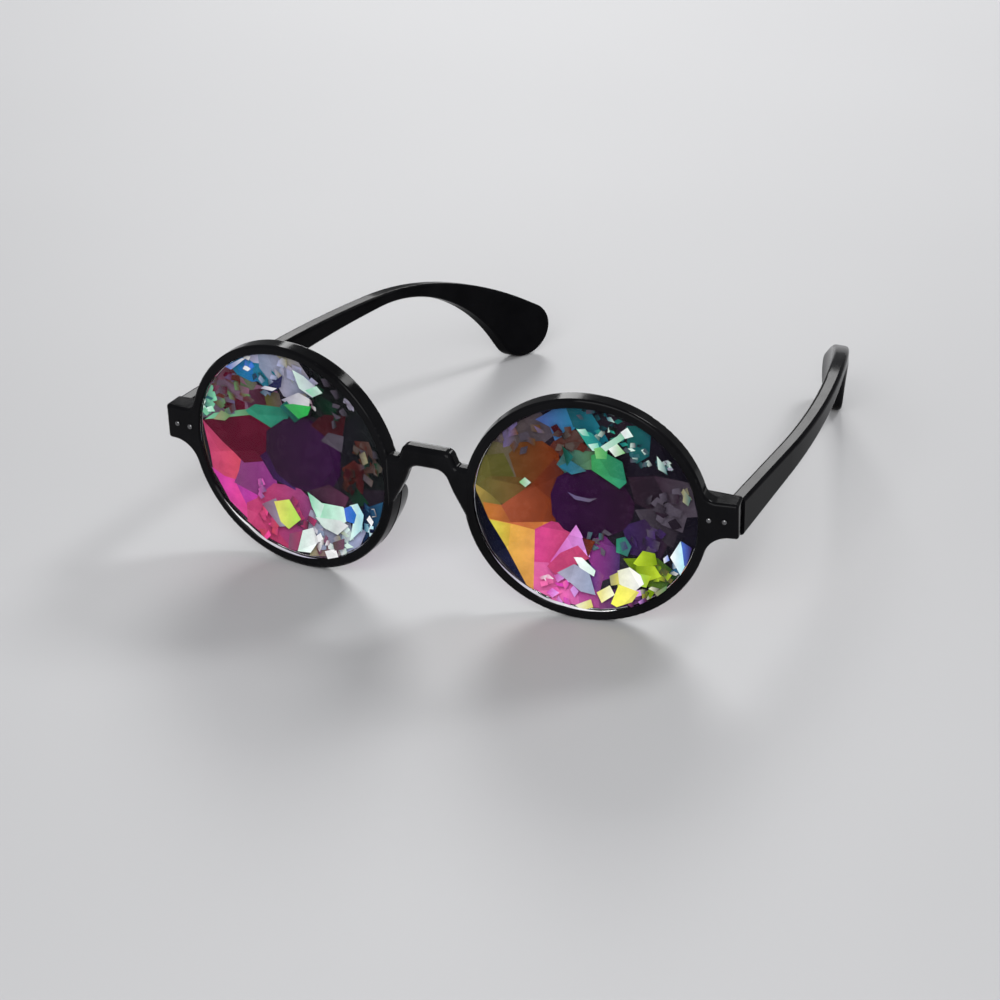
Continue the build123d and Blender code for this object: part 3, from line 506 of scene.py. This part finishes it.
def lens_glass():
    """Clear cut glass that mirrors only at low angles; lamps shine through it on to the coating."""
    mat, tree, shader = new_material("lens_glass")
    tree.links.new(ranged(tree, noise(tree, GLASS_SMEAR), *GLASS_ROUGHNESS), shader.inputs["Roughness"])
    shader.inputs["Base Color"].default_value = (*GLASS_TINT, 1)
    shader.inputs["Transmission Weight"].default_value = 1.0
    shader.inputs["IOR"].default_value = GLASS_INDEX
    facing = node(tree, "ShaderNodeLayerWeight").outputs["Facing"]
    mirror = ranged(tree, facing, *GLASS_MIRROR_SHARES, *GLASS_MIRROR_FACING)
    tree.links.new(mirror, shader.inputs["Specular Tint"])
    let_light_through(tree, shader)
    return mat


def lens_coating_and_painted_light():
    """Rainbow coating with painted reflections, painted highlights and painted facet shade: each painted
    reflection's own tone, streaked and clouded a little.
    """
    mat, tree, shader = new_material("lens_coating_and_painted_light")
    tint = node(tree, "ShaderNodeAttribute", attribute_name="coat_and_painted_light")
    cloud = noise(tree, COATING_CLOUD)
    scaled = node(tree, "ShaderNodeVectorMath", operation="SCALE")
    tree.links.new(tint.outputs["Color"], scaled.inputs[0])
    tree.links.new(ranged(tree, cloud, *COATING_SHADE), scaled.inputs["Scale"])
    tree.links.new(scaled.outputs["Vector"], shader.inputs["Base Color"])
    tree.links.new(ranged(tree, cloud, *COATING_ROUGHNESS), shader.inputs["Roughness"])
    shader.inputs["Specular IOR Level"].default_value = COATING_GLOSS
    return mat


# Lens coating

def facet_plane(radius, depth, tilt, turn):
    """Point and outward direction of one facet of the lens back, in the rim's frame."""
    t, a = math.radians(tilt), math.radians(turn)
    point = (radius * math.cos(a), radius * math.sin(a), -depth)
    return point, (math.sin(t) * math.cos(a), math.sin(t) * math.sin(a), -math.cos(t))


def facet_planes():
    """Planes of the table, the kites, the stars and the girdle facets, in that order."""
    step = 360 / FACETS
    turns = [FACET_TURN + n * step for n in range(FACETS)]
    rise = math.degrees(math.atan2(TABLE_DEPTH - GIRDLE_DEPTH, LENS_RADIUS - TABLE_RADIUS))
    side = TABLE_RADIUS * math.cos(math.radians(step / 2))
    rings = [
        (0, TABLE_DEPTH, 0, [0]),
        (TABLE_RADIUS, TABLE_DEPTH, rise, turns),
        (side, TABLE_DEPTH, STAR_TILT, [a + step / 2 for a in turns]),
        (LENS_RADIUS, GIRDLE_DEPTH, GIRDLE_TILT, [a + s * step / 4 for a in turns for s in (-1, 1)]),
    ]
    return [facet_plane(*ring[:3], turn) for ring in rings for turn in ring[3]]


def height(plane, x, y):
    """Height of a facet's plane over a point of the lens plane."""
    o, n = plane
    return o[2] - ((x - o[0]) * n[0] + (y - o[1]) * n[1]) / n[2]


def clipped(points, keep):
    """Part of a polygon where keep(x, y) is positive; keep is linear."""
    out = []
    for (ax, ay), (bx, by) in zip(points, points[1:] + points[:1]):
        ka, kb = keep(ax, ay), keep(bx, by)
        if ka >= 0:
            out.append((ax, ay))
        if (ka >= 0) != (kb >= 0):
            t = ka / (ka - kb)
            out.append((ax + t * (bx - ax), ay + t * (by - ay)))
    return out


def on_facet(points, plane, planes):
    """Part of an outline that lies on one facet, up to that facet's edges."""
    for other in planes:
        if other is not plane and points:
            points = clipped(points, lambda x, y: height(plane, x, y) - height(other, x, y))
    return points


def circle(radius, count):
    """Corners of a round outline about the middle of the lens."""
    turns = [2 * math.pi * k / count for k in range(count)]
    return [(radius * math.cos(turn), radius * math.sin(turn)) for turn in turns]


def grown(points, lap):
    """Outline with its corners moved away from its middle."""
    middle = [sum(p[k] for p in points) / len(points) for k in (0, 1)]
    out = []
    for x, y in points:
        away = math.hypot(x - middle[0], y - middle[1])
        out.append((x + (x - middle[0]) * lap / away, y + (y - middle[1]) * lap / away))
    return out


def within(points, reach):
    """Outline with the corners beyond a radius brought back to it."""
    shares = [reach / max(math.hypot(x, y), reach) for x, y in points]
    return [(x * share, y * share) for (x, y), share in zip(points, shares)]


def crescent(start, end):
    """Thin crescent of painted highlight inside the lens edge between two angles, in shares of the lens
    radius.
    """
    outer, inner = [], []
    for k in range(CRESCENT_STEPS + 1):
        part = k / CRESCENT_STEPS
        angle = math.radians(start + (end - start) * part)
        near = CRESCENT_SHARE - CRESCENT_WIDTH_SHARE * math.sin(math.pi * part)
        outer.append((CRESCENT_SHARE * math.cos(angle), CRESCENT_SHARE * math.sin(angle)))
        inner.append((near * math.cos(angle), near * math.sin(angle)))
    return tuple(outer + inner[-2:0:-1])


def painted_reflection_bit(rng, middle, size):
    """Outline of one small painted reflection, turned and slimmed at random."""
    turn, slim = rng.uniform(0, math.pi), rng.uniform(PAINTED_REFLECTION_BIT_SLIM_SHARE, 1)
    outline = []
    for k in range(PAINTED_REFLECTION_BIT_CORNERS):
        corner = 2 * math.pi * (k + rng.uniform(-PAINTED_REFLECTION_BIT_STRAY_SHARE, PAINTED_REFLECTION_BIT_STRAY_SHARE)) / PAINTED_REFLECTION_BIT_CORNERS
        x, y = size * math.cos(corner), size * math.sin(corner) * slim
        outline.append((middle[0] + x * math.cos(turn) - y * math.sin(turn),
                        middle[1] + x * math.sin(turn) + y * math.cos(turn)))
    return tuple(outline)


def painted_reflection_bits(rng, clusters):
    """Small painted reflections scattered about the middle of each cluster."""
    made = []
    for u, v, spread, count, size, tones in clusters:
        for _ in range(count):
            angle, away = rng.uniform(0, 2 * math.pi), spread * math.sqrt(rng.random())
            outline = painted_reflection_bit(rng, (u + away * math.cos(angle), v + away * math.sin(angle)), size)
            made.append((rng.choice(tones), rng.choice(tones), outline))
    return made


def lay(coat_and_painted_light, planes, points, tones, lift):
    """Adds one outline to the coating's colours, cut along the facets' edges and fading from one tone to
    another, each facet's part painted a little lighter or darker as painted shade.
    """
    corners, faces, tints = coat_and_painted_light
    xs = [x for x, y in points]
    low, span = min(xs), max(max(xs) - min(xs), FADE_LEAST_WIDTH)
    first, second = (tone(name) for name in tones)
    for number, plane in enumerate(planes):
        cell = on_facet(points, plane, planes)
        if len(cell) < FEWEST_CORNERS:
            continue
        # Painted shade: each facet's part is made lighter or darker by a fixed share, as if that facet
        # caught the light differently
        shade = 1 + FACET_PAINTED_SHADE_SHARE * math.sin(number * number + len(faces))
        faces.append(tuple(range(len(corners), len(corners) + len(cell))))
        for x, y in cell:
            t = (x - low) / span
            corners.append((x, y, height(plane, x, y) + lift))
            tints.append(tuple(shade * (p + (q - p) * t) for p, q in zip(first, second)))


def wheel_tones(number, plane):
    """Two tones of a coated facet, by its place around the table."""
    if number == 0:
        return TABLE_TONES
    x, y, _ = plane[0]
    pick = int(round(math.atan2(y, x) / (2 * math.pi) * len(WHEEL_TONES))) % len(WHEEL_TONES)
    return WHEEL_TONES[pick], WHEEL_TONES[(pick + 1) % len(WHEEL_TONES)]


def laid_coat_and_painted_light(side, coat_and_painted_light_patches):
    """Corners, faces and tints of the coating's colours: coated facets, dark ground, then every painted
    reflection and painted highlight.
    """
    planes = facet_planes()
    disc = circle(COATING_RADIUS, COATING_CORNERS)
    coat_and_painted_light = ([], [], [])
    for number, plane in enumerate(planes):
        cell = on_facet(disc, plane, planes)
        if len(cell) >= FEWEST_CORNERS:
            lay(coat_and_painted_light, planes, cell, wheel_tones(number, plane), COATING_INSET)
    lay(coat_and_painted_light, planes, disc, GROUND_TONES, COATING_INSET + LAYER_STEP)
    for layer, (first, second, outline) in enumerate(coat_and_painted_light_patches, 2):
        lapped = grown(outline, PAINTED_PATCH_LAP_SHARE)
        points = within([(side * u * LENS_RADIUS, v * LENS_RADIUS) for u, v in lapped], COATING_RADIUS)
        lay(coat_and_painted_light, planes, points, (first, second), COATING_INSET + LAYER_STEP * layer)
    return coat_and_painted_light


def rim_axes(side):
    """Centre and axes of a rim: outwards, up and towards the viewer."""
    wrap, tilt = math.radians(FACE_WRAP), math.radians(FACE_TILT)
    x = Vector((side * math.cos(wrap), math.sin(wrap), 0))
    z = Vector((side * math.sin(wrap) * math.cos(tilt), -math.cos(wrap) * math.cos(tilt), -math.sin(tilt)))
    up = Vector((0, 0, 1))
    y = (up - z * up.dot(z)).normalized()
    return Vector((side * RIM_CENTRE[0], RIM_CENTRE[1], RIM_CENTRE[2])), x, y, z


def coating(name, side, coat_and_painted_light_patches, mat):
    """Coated facets of one lens and the painted reflections and highlights in front of them, inside the
    glass.
    """
    origin, x_axis, y_axis, z_axis = rim_axes(side)
    corners, faces, tints = laid_coat_and_painted_light(side, coat_and_painted_light_patches)
    places = [origin + x_axis * x + y_axis * y + z_axis * z for x, y, z in corners]
    piece = placed_mesh(name, places, faces, mat)
    # Colour attribute: the coating's colours with painted reflections, painted highlights and painted
    # facet shade
    coat_and_painted_light = piece.data.color_attributes.new("coat_and_painted_light", "FLOAT_COLOR", "POINT")
    for item, tint in zip(coat_and_painted_light.data, tints):
        item.color = (*tint, 1)
    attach(piece, "front")


# Stage, lamps and camera

def placed(name, data):
    """New object in the scene."""
    piece = bpy.data.objects.new(name, data)
    bpy.context.scene.collection.objects.link(piece)
    return piece


def placed_mesh(name, places, faces, mat):
    """New mesh piece in the scene, in one material."""
    mesh = bpy.data.meshes.new(name)
    mesh.from_pydata(places, [], faces)
    mesh.materials.append(mat)
    return placed(name, mesh)


def floor():
    """Pale floor with very faint clouds."""
    mat, tree, shader = new_material("floor")
    tree.links.new(ramp(tree, noise(tree, FLOOR_CLOUD), *FLOOR_COLOURS), shader.inputs["Base Color"])
    shader.inputs["Roughness"].default_value = FLOOR_ROUGHNESS
    shader.inputs["Specular IOR Level"].default_value = FLOOR_GLOSS
    half = FLOOR_SIZE / 2
    corners = [(-half, -half, 0), (half, -half, 0), (half, half, 0), (-half, half, 0)]
    placed_mesh("floor", corners, [(0, 1, 2, 3)], mat)


def lamp(name, place, size, power):
    """Square soft light aimed at the origin."""
    data = bpy.data.lights.new(name, "AREA")
    data.size = size
    data.energy = power
    piece = placed(name, data)
    piece.location = place
    piece.rotation_euler = (-Vector(place)).to_track_quat("-Z", "Y").to_euler()


def world():
    """Pale surroundings."""
    made = bpy.data.worlds.new("studio")
    made.use_nodes = True
    back = made.node_tree.nodes["Background"]
    back.inputs["Color"].default_value = (*WORLD_COLOUR, 1)
    back.inputs["Strength"].default_value = WORLD_STRENGTH
    bpy.context.scene.world = made


def camera():
    """Camera above and to the wearer's left, turned down at the front."""
    a, e, roll = (math.radians(v) for v in (CAMERA_AZIMUTH, CAMERA_ELEVATION, CAMERA_ROLL))
    back = Vector((math.sin(a) * math.cos(e), -math.cos(a) * math.cos(e), math.sin(e)))
    level = back.to_track_quat("Z", "Y").to_matrix()
    x = level.col[0] * math.cos(roll) + level.col[1] * math.sin(roll)
    matrix = Matrix((x, back.cross(x), back)).transposed().to_4x4()
    matrix.translation = Vector(CAMERA_AIM) + back * CAMERA_DISTANCE
    data = bpy.data.cameras.new("camera")
    data.lens = CAMERA_LENS
    data.sensor_width = SENSOR_WIDTH
    data.clip_start, data.clip_end = CAMERA_REACH
    piece = placed("camera", data)
    piece.matrix_world = matrix
    bpy.context.scene.camera = piece


def both(*names):
    """Nodes of the given names on both sides."""
    return [f"{name}_{side}" for name in names for side in SIDES]


def dress(names, mat):
    """Gives CAD nodes their finish."""
    for name in names:
        slots = frame["nodes"][name].data.materials
        slots.clear()
        slots.append(mat)


def coatings():
    """Coating of both lenses, with its painted reflections and highlights, in one material."""
    mat = lens_coating_and_painted_light()
    rng = random.Random(PAINTED_REFLECTION_BIT_SEED)
    sets = {"left": (LEFT_COAT_AND_PAINTED_LIGHT_ZONES_SHARES, LEFT_PAINTED_REFLECTION_BITS_SHARES, LEFT_PAINTED_REFLECTION_ACCENTS_SHARES, LEFT_CRESCENT_ANGLES),
            "right": (RIGHT_COAT_AND_PAINTED_LIGHT_ZONES_SHARES, RIGHT_PAINTED_REFLECTION_BITS_SHARES, RIGHT_PAINTED_REFLECTION_ACCENTS_SHARES, RIGHT_CRESCENT_ANGLES)}
    for side, (zones, clusters, accents, angles) in sets.items():
        # Coating colour with painted reflections and shade, small painted reflections, painted glints,
        # then the painted highlight crescent
        coat_and_painted_light_patches = zones + painted_reflection_bits(rng, clusters) + accents + [(*PAINTED_HIGHLIGHT_CRESCENT_TONES, crescent(*angles))]
        coating(f"lens_coating_{side}", SIDES[side], coat_and_painted_light_patches, mat)


dress(["front_frame"] + both("nose_pad"), black_plastic("frame_plastic", *FRAME_FINISH))
dress(both("temple"), black_plastic("temple_plastic", *TEMPLE_FINISH))
dress(both("hinge_front", "hinge_temple"), brushed_metal("hinge_metal", *HINGE_FINISH))
dress(both("hinge_screw"), brushed_metal("screw_metal", *SCREW_FINISH))
dress(both("rivet_inner", "rivet_outer"), brushed_metal("rivet_metal", *RIVET_FINISH))
dress(both("lens"), lens_glass())
coatings()
floor()
world()
for lamp_name, values in LAMPS.items():
    lamp(lamp_name, *values)
camera()
bpy.context.scene.view_settings.view_transform = "Standard"
